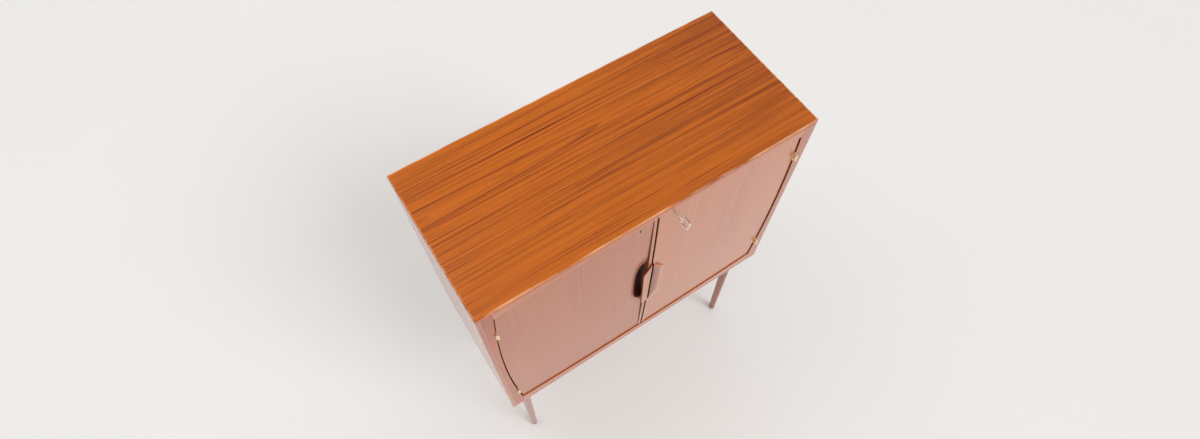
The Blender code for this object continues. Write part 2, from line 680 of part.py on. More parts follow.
def build_key():
    """Key with an open bow; its turning axis runs along Y through the right-hand keyhole."""
    axis = axis_empty("key_axis", (KEYHOLE_FROM_MIDDLE, FRONT_Y, KEYHOLE_Z))
    place = Vector(axis.location)
    turned = Matrix.Translation(place) @ Matrix.Rotation(KEY_TILT, 4, "Y") @ Matrix.Translation(-place)
    bit_end = LOCK_FRONT_Y + KEY_CAVITY_DEPTH - RUNNING_GAP * 2
    neck = FRONT_Y - KEY_REACH + KEY_BOW_LENGTH - KEY_BOW_WALL / 2
    shank = bmesh.new()
    add_round(shank, [(KEY_SHANK_RADIUS, neck), (KEY_SHANK_RADIUS, bit_end)],
              aim((place.x, 0, place.z), (0, 1, 0)), ROUND_STEPS)
    key = add_part("key", shank, "nickel", axis, smooth=True)
    count = 2 * ROUND_STEPS
    half_long, half_wide = KEY_BOW_LENGTH / 2, KEY_BOW_WIDTH / 2
    centre_y = FRONT_Y - KEY_REACH + half_long
    outer = oval(half_long, half_wide, count)
    inner = oval(half_long - KEY_BOW_WALL, half_wide - KEY_BOW_WALL, count)
    thick = KEY_BOW_THICKNESS / 2
    loops = [(outer, -thick), (outer, thick), (inner, thick), (inner, -thick)]
    ring = bmesh.new()
    rows = []
    for outline, off in loops:
        points = [(place.x + off, centre_y + along, place.z + across) for along, across in outline]
        rows.append([ring.verts.new(point) for point in points])
    for this, following in zip(rows, rows[1:] + rows[:1]):
        for i in range(count):
            j = (i + 1) % count
            ring.faces.new((this[i], this[j], following[j], following[i]))
    bmesh.ops.transform(ring, matrix=turned, verts=ring.verts)
    half = KEY_BIT_THICKNESS / 2
    bit = box((place.x - half, bit_end - KEY_BIT_LENGTH, place.z - KEY_BIT_REACH),
              (place.x + half, bit_end - RUNNING_GAP, place.z))
    bmesh.ops.transform(bit, matrix=turned, verts=bit.verts)
    combine(key, add_tool("key_bow", ring, axis), "UNION")
    combine(key, add_tool("key_bit", bit, axis), "UNION")


# Legs and aprons

def leg_rings(side_x, side_y, spare=0.0):
    """A round leg that tapers and leans outwards, with level ends."""
    top = Vector((side_x * (HALF_WIDTH - LEG_TOP_FROM_SIDE), 0, CASE_BOTTOM - GLUE_GAP))
    top.y = (FRONT_Y + LEG_TOP_FROM_FACE) if side_y < 0 else (BACK_Y - LEG_TOP_FROM_FACE)
    foot = Vector((top.x + side_x * LEG_SPLAY, top.y + side_y * LEG_SPLAY, 0))
    eased = LEG_FOOT_EASE / LEG_HEIGHT
    shares = ((0, LEG_FOOT_RADIUS - LEG_FOOT_EASE), (eased, LEG_FOOT_RADIUS), (1, LEG_TOP_RADIUS))
    count = ROUND_STEPS + 4
    turns = [2 * math.pi * (i + 0.5) / count for i in range(count)]
    rings = []
    for share, radius in shares:
        x, y, z = foot.lerp(top, share)
        wide = radius + spare
        rings.append([(x + wide * math.cos(a), y + wide * math.sin(a), z) for a in turns])
    return rings


def build_base(bottom_panel):
    tools = {}
    for front_word, side_y in (("front", -1), ("back", 1)):
        for word, side_x in SIDES.items():
            leg = bmesh.new()
            loft(leg, leg_rings(side_x, side_y))
            add_part(f"{front_word}_{word}_leg", leg, "teak", smooth=True)
            room = bmesh.new()
            rings = leg_rings(side_x, side_y, GLUE_GAP)
            rings[-1] = [(x, y, z + 0.01) for x, y, z in rings[-1]]
            loft(room, rings)
            tools[side_x, side_y] = add_tool(f"{front_word}_{word}_leg_room", room)
    x = HALF_WIDTH - LEG_TOP_FROM_SIDE
    ys = {-1: FRONT_Y + LEG_TOP_FROM_FACE, 1: BACK_Y - LEG_TOP_FROM_FACE}
    high = CASE_BOTTOM - GLUE_GAP
    low = high - APRON_HEIGHT
    half = APRON_THICKNESS / 2
    aprons = []
    for word, side in (("front", -1), ("back", 1)):
        rail = box((-x, ys[side] - half, low), (x, ys[side] + half, high))
        apron = add_part(word + "_apron", rail, "teak")
        cut(apron, tools[-1, side], tools[1, side])
        aprons.append(apron)
    for word, side in SIDES.items():
        rail = box((side * x - half, ys[-1], low), (side * x + half, ys[1], high))
        apron = add_part(word + "_apron", rail, "teak")
        cut(apron, tools[side, -1], tools[side, 1])
        aprons.append(apron)
    fasten_base(bottom_panel, aprons, x, ys, low)


def fasten_base(bottom_panel, aprons, leg_x, leg_ys, apron_low):
    """Screws sunk into the aprons from below, which hold the case on its base."""
    seat = apron_low + BASE_SCREW_COUNTERBORE
    spread_x = BASE_SCREW_SPREAD / 2
    places = {f"{word}_{hand}": (side * spread_x, leg_ys[face], seat)
              for word, face in (("front", -1), ("back", 1)) for hand, side in SIDES.items()}
    middle_y = (leg_ys[-1] + leg_ys[1]) / 2
    places.update({f"{word}_side": (side * leg_x, middle_y, seat) for word, side in SIDES.items()})
    length = APRON_HEIGHT - BASE_SCREW_COUNTERBORE + BASE_SCREW_BITE
    sizes = (length, BASE_SCREW_RADIUS, BASE_SCREW_HEAD)
    head = BASE_SCREW_HEAD + GLUE_GAP
    sink = [(head, -BASE_SCREW_COUNTERBORE - 0.01), (head, 0)]
    holes, sinks = bmesh.new(), bmesh.new()
    for word, place in places.items():
        screw = bmesh.new()
        add_round(screw, screw_profile(*sizes), Matrix.Translation(place), SCREW_STEPS)
        add_part(f"base_screw_{word}", screw, "steel", smooth=True)
        add_round(holes, screw_profile(*sizes, spare=GLUE_GAP), Matrix.Translation(place), SCREW_STEPS)
        add_round(sinks, sink, Matrix.Translation(place), SCREW_STEPS)
    hole, counterbore = add_tool("base_screw_holes", holes), add_tool("base_screw_sinks", sinks)
    for apron in aprons:
        cut(apron, hole, counterbore)
    cut(bottom_panel, hole)


# Inside

def build_inside(panels):
    front = DOOR_BACK_Y + GLUE_GAP
    back = BACK_PANEL_Y - GLUE_GAP
    half = PARTITION_THICKNESS / 2
    partition = add_part("centre_partition", box((-half, front, INNER_BOTTOM + GLUE_GAP),
                                                 (half, back, INNER_TOP - GLUE_GAP)), "board")
    shelf_front, shelf_back = DOOR_BACK_Y + SHELF_SETBACK, back - SHELF_PLAY
    depths = {"front": shelf_front + SHELF_PIN_FROM_EDGE, "back": shelf_back - SHELF_PIN_FROM_EDGE}
    pin_z = SHELF_Z - GLUE_GAP - SHELF_PIN_RADIUS
    hole_radius = SHELF_PIN_RADIUS + RUNNING_GAP
    rows = [pin_z + SHELF_HOLE_PITCH * (i - SHELF_HOLE_ROWS // 2) for i in range(SHELF_HOLE_ROWS)]
    holes = bmesh.new()
    for word, side in SIDES.items():
        low, high = sorted((side * (half + SHELF_PLAY), side * (INNER_HALF - SHELF_PLAY)))
        shelf = box((low, shelf_front, SHELF_Z), (high, shelf_back, SHELF_Z + SHELF_THICKNESS))
        add_part(word + "_shelf", shelf, "board")
        walls = {"outer": (side * INNER_HALF, -side, SHELF_PIN_IN),
                 "inner": (side * half, side, half * 0.75)}
        for depth_word, y in depths.items():
            for wall_word, (wall, inward, sunk) in walls.items():
                pin = bmesh.new()
                profile = [(SHELF_PIN_RADIUS, -sunk), (SHELF_PIN_RADIUS, SHELF_PIN_OUT)]
                add_round(pin, profile, aim((wall, y, pin_z), (inward, 0, 0)), SCREW_STEPS)
                add_part(f"{word}_shelf_pin_{depth_word}_{wall_word}", pin, "brass", smooth=True)
                hole = [(hole_radius, -sunk - GLUE_GAP), (hole_radius, SHELF_PIN_OUT)]
                for z in rows:
                    add_round(holes, hole, aim((wall, y, z), (inward, 0, 0)), SCREW_STEPS)
    tool = add_tool("shelf_pin_holes", holes)
    cut(partition, tool)
    for word in SIDES:
        cut(panels[word + "_side_panel"], tool)


# Whole cabinet

def build():
    clear_scene()
    panels = build_case()
    stiles = build_front_frame()
    inner = MEETING_GAP / 2 + STRIP_WIDTH + GLUE_GAP
    for word, side in SIDES.items():
        axis = axis_empty(word + "_door_axis", (side * hinge_axis_x(), FRONT_Y - HINGE_PROUD, OPENING_MID))
        door = build_door(word, side, inner, axis)
        build_hinges(word, side, {"case": stiles[word], "door": door}, axis)
        build_lock(word, side, door, axis)
        if word == "left":
            cut(door, scoop_tool(inner, axis))
            combine(build_strip("left_door_pull_strip", side, axis), pull_lip(axis), "UNION")
        else:
            combine(build_strip("right_door_pull_strip", side, axis), pull_swell(axis), "UNION")
    build_strikes(panels["top_panel"])
    build_key()
    build_base(panels["bottom_panel"])
    build_inside(panels)


build()
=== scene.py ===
import math

import bmesh
import bpy
from mathutils import Matrix, Vector


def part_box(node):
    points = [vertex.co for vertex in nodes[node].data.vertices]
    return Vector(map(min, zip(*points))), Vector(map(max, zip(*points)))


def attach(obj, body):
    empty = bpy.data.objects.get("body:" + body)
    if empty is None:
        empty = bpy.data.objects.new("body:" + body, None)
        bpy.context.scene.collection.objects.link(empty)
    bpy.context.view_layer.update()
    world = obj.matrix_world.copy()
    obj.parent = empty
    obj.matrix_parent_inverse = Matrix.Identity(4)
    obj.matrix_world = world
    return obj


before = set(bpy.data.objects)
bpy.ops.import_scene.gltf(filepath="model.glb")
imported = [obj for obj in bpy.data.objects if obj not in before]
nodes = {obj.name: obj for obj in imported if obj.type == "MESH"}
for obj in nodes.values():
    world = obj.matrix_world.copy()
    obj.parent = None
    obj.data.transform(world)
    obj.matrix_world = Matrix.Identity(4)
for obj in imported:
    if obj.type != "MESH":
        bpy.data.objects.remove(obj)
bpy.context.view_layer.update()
scene = bpy.context.scene
scene.view_settings.view_transform = "Standard"

# Places read from the frame, in metres like all lengths here
FRONT_Y, BACK_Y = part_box("top_panel")[0][1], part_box("top_panel")[1][1]
HALF_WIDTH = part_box("right_side_panel")[1][0]
TOP_Z, CASE_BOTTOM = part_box("top_panel")[1][2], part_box("bottom_panel")[0][2]
DOOR_FRONT, DOOR_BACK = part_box("left_door_panel")[0][1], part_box("left_door_panel")[1][1]
MEETING_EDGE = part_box("right_door_pull_strip")[0][0]

# Noises of the grain: counts per metre along and across it, a shift of the seed, detail and roughness
WANDER = (1.6, 6.0, 1.3, 2.0, 0.5)
JITTER = (2.2, 40.0, 4.1, 2.0, 0.5)
CLUSTERS = (0.5, 13.0, 6.2, 2.0, 0.5)
BANDS = (0.7, 24.0, 7.7, 4.0, 0.62)
LINES = (1.8, 130.0, 2.9, 4.0, 0.72)
CLOUD = (1.4, 5.0, 3.7, 2.0, 0.5)
FIBRE = (30.0, 1500.0, 5.3, 2.0, 0.5)
PORES = (45.0, 2400.0, 9.1, 0.0, 0.5)
RUBBED = (14.0, 60.0, 8.8, 3.0, 0.5)
THREADS_ALONG, THREADS_ACROSS = 1.5, 170.0
THREADS_REST = (6.9, 3.0, 0.7)
SEED_SHARES = (1.0, 1.7, 2.3)

# What the noises do: the low and high value that count and, where there are four, what these become
YEAR_SPAN = (0.36, 0.64, 0.08, 1.0)
RINGS_IN_CLUSTERS = (0.36, 0.62, 0.25, 1.0)
THREADS_IN_CLUSTERS = (0.40, 0.60, 0.35, 1.0)
BAND_SPAN = (0.52, 0.72)
LINE_SPAN, LINE_SHARE = (0.32, 0.68), 0.3
THREAD_SPAN = (0.54, 0.70)
CLOUD_TONE = (0.3, 0.7, -0.14, 0.20)
FIBRE_GREY = (0.25, 0.75, 0.93, 1.06)
FIBRE_SPAN, FIBRE_ROUGHNESS = (0.2, 0.8), 0.05
PORE_SPAN, PORE_GREY, PORE_ROUGHNESS = (0.64, 0.74), -0.16, 0.12
RUBBED_SPAN = (0.35, 0.65)

# Growth rings: places in a year with how dark the wood is there, and how much the years differ
YEAR = ((0.0, 0.0), (0.50, 0.14), (0.82, 0.85), (0.93, 1.0), (1.0, 0.0))
YEARS_PER_TURN, YEARS_ALONG, RING_JITTER = 0.62, 0.9, 1.1

# Polish and relief of the teak
COAT_ROUGHNESS, TEAK_IOR = 0.20, 1.5
PORE_DEPTH, PORE_STRENGTH, FIBRE_RELIEF = 0.00008, 0.5, 0.5
REAR_NORMALS, REAR_POLISH_LOSS = (0.55, 0.80), 0.7
ARRIS_REACH, ARRIS_ROUGHNESS = (0.0010, 0.0050), 0.06

# Plywood, with its noises and spans given as those of the teak are
PLY_WAVES, PLY_FIBRE = (2.0, 16.0, 0.0, 3.0, 0.5), (20.0, 700.0, 2.0, 3.0, 0.5)
PLY_YEAR = ((0.0, 0.2), (0.7, 0.7), (0.9, 1.0), (1.0, 0.2))
PLY_RINGS, PLY_RING_SHARE = 9.0, 0.45
PLY_GREY, PLY_ROUGHNESS = (0.88, 1.08), (0.58, 0.72)
PLY_DEPTH, PLY_STRENGTH, PLY_IOR = 0.00012, 0.5, 1.45

# Painted shade, and less polish: shares that are left or lost, and powers by which green and blue fall
# faster
SHADE_WARMTH, DULL_SHADE_WARMTH = (1.4, 1.6), (1.25, 1.3)
DULL_SHADE_LOSS, DULL_SHADE_POLISH_LOSS, BARE_POLISH_LOSS = 0.55, 0.9, 0.95
GAP_NORMALS = (0.40, 0.70)
GAP_SHADE, LEFT_DOOR_SHADE, RIGHT_STILE_SHADE = 0.36, 0.26, 0.55
MEETING_SPAN = (MEETING_EDGE + 0.00015, MEETING_EDGE + 0.00115)
MEETING_NORMALS, MEETING_SHADE = (0.75, 0.95), 0.30
FLANK_NORMALS, FLANK_SHADE = (-0.80, -0.45), 0.46

# The finger scoop: its outline, and where its masks of painted shade and less polish rise and fall along
# each axis
SCOOP_X, SCOOP_Z = -0.0113, 0.880
SCOOP_HALF_WIDTH, SCOOP_HALF_HEIGHT, SCOOP_SQUARENESS = 0.034, 0.112, 3.0
SCOOP_ACROSS = ((-0.056, -0.050), (-0.012, -0.009))
SCOOP_MOUTH = (DOOR_FRONT + 0.00035, DOOR_FRONT + 0.00525)
SCOOP_FLOOR = (DOOR_BACK - 0.00325, DOOR_BACK - 0.00225)
SCOOP_UP = ((0.70, 0.72), (1.00, 1.02))
SCOOP_SHADE_LOSS = 0.80
RIM_REACH, RIM_SHARE = (1.0, 2.4), 0.8
RIM_RISE, RIM_NORMALS = (0.77, 0.84), (-0.6, -0.4)

# The right half of the pull: the line of its slanting top, the band under it and the part painted with shade
SWELL_TOP, SWELL_SLOPE = 0.974, 1.6
SWELL_BAND = ((-0.004, -0.002), (0.010, 0.014))
SWELL_RAISED = (DOOR_FRONT - 0.00195, DOOR_FRONT - 0.00115)
SWELL_SHADE_ACROSS = (0.008, 0.064)
SWELL_SHADE_UP = ((0.735, 0.765), (0.945, 0.965))
SWELL_SHADE_RAISED = (DOOR_FRONT - 0.00375, DOOR_FRONT - 0.00175)

# Metal: counts per metre of tarnish and scratches along each axis, and what they do
TARNISHED, BRUSHED, SCRATCHED = (160.0, 160.0, 160.0), (2600.0, 120.0, 2600.0), (900.0, 900.0, 250.0)
TARNISH_SPAN, TARNISH_SHARE, SCRATCH_SHIFT = (0.40, 0.68), 0.5, 3.0
DULL_SPAN, DULL_SMOOTHER, DULL_ROUGHER = (0.3, 0.7), 0.06, 0.10
SCRATCH_ROUGHNESS = (0.4, 0.7, 0.0, 0.08)
DENT_DEPTH, DENT_STRENGTH, DENT_SHARE = 0.00005, 0.4, 0.6
# Shade is painted on the key's two faces that look most this way
SHADED_ACROSS, SHADED_UP, SHADED_SPAN = 0.92, 0.38, (0.66, 0.86)
KEYHOLE_SHADE = (DOOR_FRONT - 0.00015, DOOR_FRONT + 0.00085)

# Floor
FLOOR_CLOUD, FLOOR_CLOUD_SEED = (1.2, 1.2, 1.2), 0.4
FLOOR_GRAIN, FLOOR_GRAIN_SEED = (120.0, 120.0, 120.0), 2.4
FLOOR_ROUGHNESS, FLOOR_IOR = (0.3, 0.7, 0.5, 0.58), 1.4
FLOOR_DEPTH, FLOOR_STRENGTH = 0.0002, 0.15


def srgb(red, green, blue):
    """Linear colour from 0 to 255 display values."""
    return tuple(((c / 255 + 0.055) / 1.055) ** 2.4 for c in (red, green, blue)) + (1.0,)


def tones(light, dark, streak):
    """The three colours of a board."""
    return dict(light=srgb(*light), dark=srgb(*dark), streak=srgb(*streak))


TOP_TONES = tones((196, 99, 10), (126, 50, 10), (86, 33, 10))
SIDE_TONES = tones((182, 92, 40), (144, 66, 30), (108, 47, 22))
LEFT_DOOR_TONES = tones((178, 92, 40), (150, 71, 33), (118, 52, 25))
RIGHT_DOOR_TONES = tones((194, 106, 46), (166, 82, 37), (134, 62, 30))
STILE_TONES = tones((182, 92, 42), (149, 68, 33), (118, 52, 27))
RAIL_TONES = tones((194, 99, 42), (164, 77, 35), (130, 58, 29))
BASE_TONES = tones((154, 80, 42), (128, 60, 32), (104, 46, 26))
INNER_TONES = tones((186, 122, 70), (160, 94, 48), (136, 78, 40))
DOOR_REAR = (srgb(184, 112, 62), srgb(156, 86, 46))
PLY_LIGHT, PLY_DARK = srgb(206, 170, 124), srgb(170, 128, 84)
# Pale arrises: partly abraded wood, partly a painted highlight
WORN_AND_HIGHLIT = srgb(236, 176, 128)
# Black painted as shade deep in keyholes, and shade painted on two faces of the key
KEYHOLE_BLACK, KEY_SHADE = srgb(16, 12, 9), srgb(92, 82, 66)
FLOOR_LIGHT, FLOOR_DARK = srgb(234, 232, 229), srgb(230, 228, 226)


# Shader graphs

class Graph:
    """A node tree, written as nested calls. A number stands for itself and a socket for a link."""

    def __init__(self, tree):
        self.tree = tree

    def add(self, kind, *inputs, **settings):
        node = self.tree.nodes.new(kind)
        for key, value in settings.items():
            setattr(node, key, value)
        for socket, value in zip(node.inputs, inputs):
            self.set(socket, value)
        return node

    def set(self, socket, value):
        if isinstance(value, bpy.types.NodeSocket):
            self.tree.links.new(value, socket)
        else:
            socket.default_value = value

    def split(self, vector):
        return dict(zip("XYZ", self.add("ShaderNodeSeparateXYZ", vector).outputs))

    def math(self, operation, *inputs):
        return self.add("ShaderNodeMath", *inputs, operation=operation).outputs[0]

    def product(self, first, *others):
        for other in others:
            first = self.math("MULTIPLY", first, other)
        return first

    def span(self, value, low, high, to_low=0.0, to_high=1.0, smooth=False):
        """A value between low and high, mapped to another stretch and held at its ends."""
        kind = "SMOOTHSTEP" if smooth else "LINEAR"
        node = self.add("ShaderNodeMapRange", value, low, high, to_low, to_high, interpolation_type=kind)
        return node.outputs[0]

    def fall(self, value, low, high, smooth=False):
        return self.span(value, low, high, 1.0, 0.0, smooth)

    def window(self, value, rise, fall, smooth=False):
        """1 between two places, with a slope on each side."""
        return self.product(self.span(value, *rise, smooth=smooth), self.fall(value, *fall, smooth))

    def vector(self, x, y, z):
        return self.add("ShaderNodeCombineXYZ", x, y, z).outputs[0]

    def scaled(self, places, counts, seed):
        """Stretched coordinates for a noise: places times counts per metre, moved by a seed."""
        shifts = [seed * share for share in SEED_SHARES]
        return self.vector(*[self.math("MULTIPLY_ADD", *row) for row in zip(places, counts, shifts)])

    def noise(self, vector, detail, roughness=0.5):
        node = self.add("ShaderNodeTexNoise", noise_dimensions="3D")
        self.set(node.inputs["Vector"], vector)
        self.set(node.inputs["Scale"], 1.0)
        self.set(node.inputs["Detail"], detail)
        self.set(node.inputs["Roughness"], roughness)
        return node.outputs[0]

    def mix(self, factor, first, second, blend="MIX"):
        node = self.add("ShaderNodeMix", data_type="RGBA", blend_type=blend)
        self.set(node.inputs[0], factor)
        self.set(node.inputs[6], first)
        self.set(node.inputs[7], second)
        return node.outputs[2]

    def tinted(self, colour, factor, green=1.0, blue=1.0):
        """A colour times a factor, whose green and blue may fall faster."""
        tint = self.vector(factor, self.math("POWER", factor, green), self.math("POWER", factor, blue))
        return self.mix(1.0, colour, tint, blend="MULTIPLY")

    def lessened(self, value, mask, loss):
        """A value that loses a share of itself where the mask is 1."""
        return self.product(self.math("MULTIPLY_ADD", mask, -loss, 1.0), value)

    def ramp(self, factor, *stops):
        node = self.add("ShaderNodeValToRGB", factor)
        elements = node.color_ramp.elements
        while len(elements) < len(stops):
            elements.new(0.5)
        for element, (place, grey) in zip(elements, stops):
            element.position = place
            element.color = (grey, grey, grey, 1.0)
        return node.outputs[0]


class Finish(Graph):
    """A material's graph, with the places and normals of the object it is on."""

    def __init__(self, name):
        self.material = bpy.data.materials.new(name)
        self.material.use_nodes = True
        super().__init__(self.material.node_tree)
        self.shader = self.tree.nodes["Principled BSDF"]
        coordinates = self.add("ShaderNodeTexCoord").outputs
        self.axis = self.split(coordinates["Object"])
        self.normal = self.split(coordinates["Normal"])

    def bump(self, height, distance, strength):
        node = self.add("ShaderNodeBump")
        self.set(node.inputs["Strength"], strength)
        self.set(node.inputs["Distance"], distance)
        self.set(node.inputs["Height"], height)
        self.set(self.shader.inputs["Normal"], node.outputs[0])

    def finish(self, **sockets):
        names = {"colour": "Base Color", "roughness": "Roughness", "metallic": "Metallic", "ior": "IOR",
                 "coat": "Coat Weight", "coat_roughness": "Coat Roughness", "specular": "Specular IOR Level"}
        for key, value in sockets.items():
            self.set(self.shader.inputs[names[key]], value)
        return self.material


class Wood(Finish):
    """The graph of a board: u runs along the grain, v across it and w in depth."""

    def __init__(self, name, along, across, seed):
        super().__init__(name)
        deep = ({"X", "Y", "Z"} - {along, across}).pop()
        self.u, self.v, self.w = self.axis[along], self.axis[across], self.axis[deep]
        self.seed = seed

    def grain(self, per_along, per_across, shift, detail, roughness):
        counts = (per_along, per_across, per_across)
        place = self.scaled((self.u, self.v, self.w), counts, self.seed + shift)
        return self.noise(place, detail, roughness)


# Teak

def growth_rings(g, heart, slope, curve, period, warp):
    """Rings round a heart line: 0 in early wood and 1 in the darkest late wood of a strong year."""
    wander = g.product(g.math("SUBTRACT", g.grain(*WANDER), 0.5), warp * 2)
    across = g.math("ADD", g.math("SUBTRACT", g.v, heart[0]), wander)
    bend = g.product(g.u, g.math("MULTIPLY_ADD", g.u, curve, slope))
    depth = g.math("ADD", g.math("SUBTRACT", g.w, heart[1]), bend)
    radius = g.math("SQRT", g.math("ADD", g.math("POWER", across, 2.0), g.math("POWER", depth, 2.0)))
    turns = g.math("ADD", g.math("DIVIDE", radius, period), g.product(g.grain(*JITTER), RING_JITTER))
    late = g.ramp(g.math("FRACT", turns), *YEAR)
    year = g.vector(g.product(turns, YEARS_PER_TURN), g.product(g.u, YEARS_ALONG), g.seed)
    return g.product(late, g.span(g.noise(year, detail=1.0), *YEAR_SPAN))


def grain_tone(g, late, ring, lining, thread, painted_shade_ramp):
    """How dark the wood is, from 0 to 1: rings, soft lines, dark threads, slow clouds and a ramp of painted
    shade.
    """
    clusters = g.grain(*CLUSTERS)
    late = g.product(late, g.span(clusters, *RINGS_IN_CLUSTERS))
    lines = g.span(g.grain(*LINES), *LINE_SPAN, -LINE_SHARE * lining, LINE_SHARE * lining)
    threads = g.span(g.grain(THREADS_ALONG, thread, *THREADS_REST), *THREAD_SPAN, smooth=True)
    threads = g.product(threads, g.span(clusters, *THREADS_IN_CLUSTERS))
    tone = g.math("MULTIPLY_ADD", late, ring, lines)
    tone = g.math("MULTIPLY_ADD", threads, lining, tone)
    tone = g.math("ADD", tone, g.span(g.grain(*CLOUD), *CLOUD_TONE))
    # A ramp of painted shade: the wood turns darker along its length
    if painted_shade_ramp:
        start, end, amount = painted_shade_ramp
        tone = g.math("ADD", tone, g.span(g.u, start, end, 0.0, amount, smooth=True))
    return g.math("MINIMUM", g.math("MAXIMUM", tone, 0.0), 1.0)


def worn_and_lit_arrises(g, edges):
    """Mask of the pale parts of edges, partly abraded and partly a painted highlight, each edge given as two
    axes with a place on each.
    """
    near = None
    for arris in edges:
        gaps = [g.math("ABSOLUTE", g.math("SUBTRACT", g.axis[axis], place)) for axis, place in arris]
        gap = g.math("MAXIMUM", *gaps)
        near = gap if near is None else g.math("MINIMUM", near, gap)
    return g.product(g.fall(near, *ARRIS_REACH, smooth=True), g.span(g.grain(*RUBBED), *RUBBED_SPAN))


def teak(name, along, across, light, dark, streak, heart, seed, slope=0.0, curve=0.0, period=0.003,
         warp=0.006, ring=0.45, streaks=0.5, lining=0.34, thread=THREADS_ACROSS, coat=1.0, roughness=0.36,
         specular=0.5, edges=(), wear_and_highlight=0.0, painted_shade_ramp=None, painted_shade=None, dull_painted_shade=None, bare=None, rear=None):
    """Oiled teak: growth rings round a heart line that runs along the grain, streaks, fibres and pores.

    heart is the line's place across the grain and in depth. slope and curve tilt and bend it along the
    grain, so that a flat face cuts the rings in long arches. ring, streaks and lining say how strong the
    rings, broad streaks and lines are, and thread how closely the dark threads lie. edges are the pale
    arrises, partly abraded and partly a painted highlight, and wear_and_highlight says how pale they are.
    painted_shade_ramp is the stretch of the length over which painted shade makes the wood darker, and by
    how much. painted_shade gives the share of colour left where shade is painted, which takes polish away
    too. dull_painted_shade is a mask of the places where warmer shade is painted and polish is less, and
    bare one of the places that lost only the polish. rear is the light and dark tone of the face that
    looks back, which has little polish.
    """
    g = Wood(name, along, across, seed)
    fibre = g.grain(*FIBRE)
    pores = g.span(g.grain(*PORES), *PORE_SPAN)
    late = growth_rings(g, heart, slope, curve, period, warp)
    tone = grain_tone(g, late, ring, lining, thread, painted_shade_ramp)
    colour = g.mix(tone, light, dark)
    if rear:
        looks_back = g.span(g.normal["Y"], *REAR_NORMALS, smooth=True)
        colour = g.mix(looks_back, colour, g.mix(tone, *rear))
        coat = g.lessened(coat, looks_back, REAR_POLISH_LOSS)
    bands = g.span(g.grain(*BANDS), *BAND_SPAN, smooth=True)
    colour = g.mix(g.product(bands, streaks), colour, streak)
    colour = g.tinted(colour, g.math("ADD", g.span(fibre, *FIBRE_GREY), g.product(pores, PORE_GREY)))
    rough = g.span(fibre, *FIBRE_SPAN, roughness - FIBRE_ROUGHNESS, roughness + FIBRE_ROUGHNESS)
    rough = g.math("ADD", rough, g.product(pores, PORE_ROUGHNESS))
    # Painted shade in gaps, on faces that look left and in the scoop darkens the colour and takes polish
    # away
    if painted_shade:
        unmarked = painted_shade(g)
        colour = g.tinted(colour, unmarked, *SHADE_WARMTH)
        coat = g.product(unmarked, coat)
    # Pale arrises, partly abraded and partly a painted highlight
    if edges:
        worn_and_lit = worn_and_lit_arrises(g, edges)
        colour = g.mix(g.product(worn_and_lit, wear_and_highlight), colour, WORN_AND_HIGHLIT)
        rough = g.math("MULTIPLY_ADD", worn_and_lit, ARRIS_ROUGHNESS, rough)
    # Warmer shade painted in and round the scoop and on the right half of the pull, where the polish is less
    # too
    if dull_painted_shade:
        shade_mask = dull_painted_shade(g)
        colour = g.tinted(colour, g.lessened(1.0, shade_mask, DULL_SHADE_LOSS), *DULL_SHADE_WARMTH)
        coat = g.lessened(coat, shade_mask, DULL_SHADE_POLISH_LOSS)
    if bare:
        coat = g.lessened(coat, bare(g), BARE_POLISH_LOSS)
    g.bump(g.math("SUBTRACT", g.product(fibre, FIBRE_RELIEF), pores), PORE_DEPTH, PORE_STRENGTH)
    return g.finish(colour=colour, roughness=rough, coat=coat, coat_roughness=COAT_ROUGHNESS, ior=TEAK_IOR,
                    specular=specular)


# Other materials

def plywood(name, along, across, light, dark, seed):
    """Peeled veneer with wavy rings and little shine."""
    g = Wood(name, along, across, seed)
    rings = g.ramp(g.math("FRACT", g.product(g.grain(*PLY_WAVES), PLY_RINGS)), *PLY_YEAR)
    fibre = g.grain(*PLY_FIBRE)
    colour = g.mix(g.product(rings, PLY_RING_SHARE), light, dark)
    colour = g.tinted(colour, g.span(fibre, *FIBRE_SPAN, *PLY_GREY))
    g.bump(fibre, PLY_DEPTH, PLY_STRENGTH)
    return g.finish(colour=colour, roughness=g.span(fibre, *FIBRE_SPAN, *PLY_ROUGHNESS), ior=PLY_IOR)


def metal(name, unmarked, dull, roughness, seed, metallic=1.0, scratches=SCRATCHED, shade=None, shaded_sides=None):
    """Plated or bare metal with cloudy tarnish, fine scratches and small dents.

    shade is the stretch of depth over which a hole turns black, and shaded_sides the colour of shade painted
    on two opposite faces.
    """
    g = Finish(name)
    cloud = g.noise(g.scaled(g.axis.values(), TARNISHED, seed), detail=4.0, roughness=0.65)
    scratch = g.noise(g.scaled(g.axis.values(), scratches, seed + SCRATCH_SHIFT), detail=3.0)
    tarnish = g.product(g.span(cloud, *TARNISH_SPAN, smooth=True), TARNISH_SHARE)
    colour = g.mix(tarnish, unmarked, dull)
    rough = g.span(cloud, *DULL_SPAN, roughness - DULL_SMOOTHER, roughness + DULL_ROUGHER)
    rough = g.math("ADD", rough, g.span(scratch, *SCRATCH_ROUGHNESS))
    if shade:
        colour = g.mix(g.span(g.axis["Y"], *shade), colour, KEYHOLE_BLACK)
    # Shade painted on the two opposite faces that look most across and up
    if shaded_sides:
        across, up = g.product(g.normal["X"], SHADED_ACROSS), g.product(g.normal["Z"], SHADED_UP)
        turned = g.math("ABSOLUTE", g.math("ADD", across, up))
        colour = g.mix(g.span(turned, *SHADED_SPAN, smooth=True), colour, shaded_sides)
    g.bump(g.math("ADD", scratch, g.product(cloud, DENT_SHARE)), DENT_DEPTH, DENT_STRENGTH)
    return g.finish(colour=colour, roughness=rough, metallic=metallic)


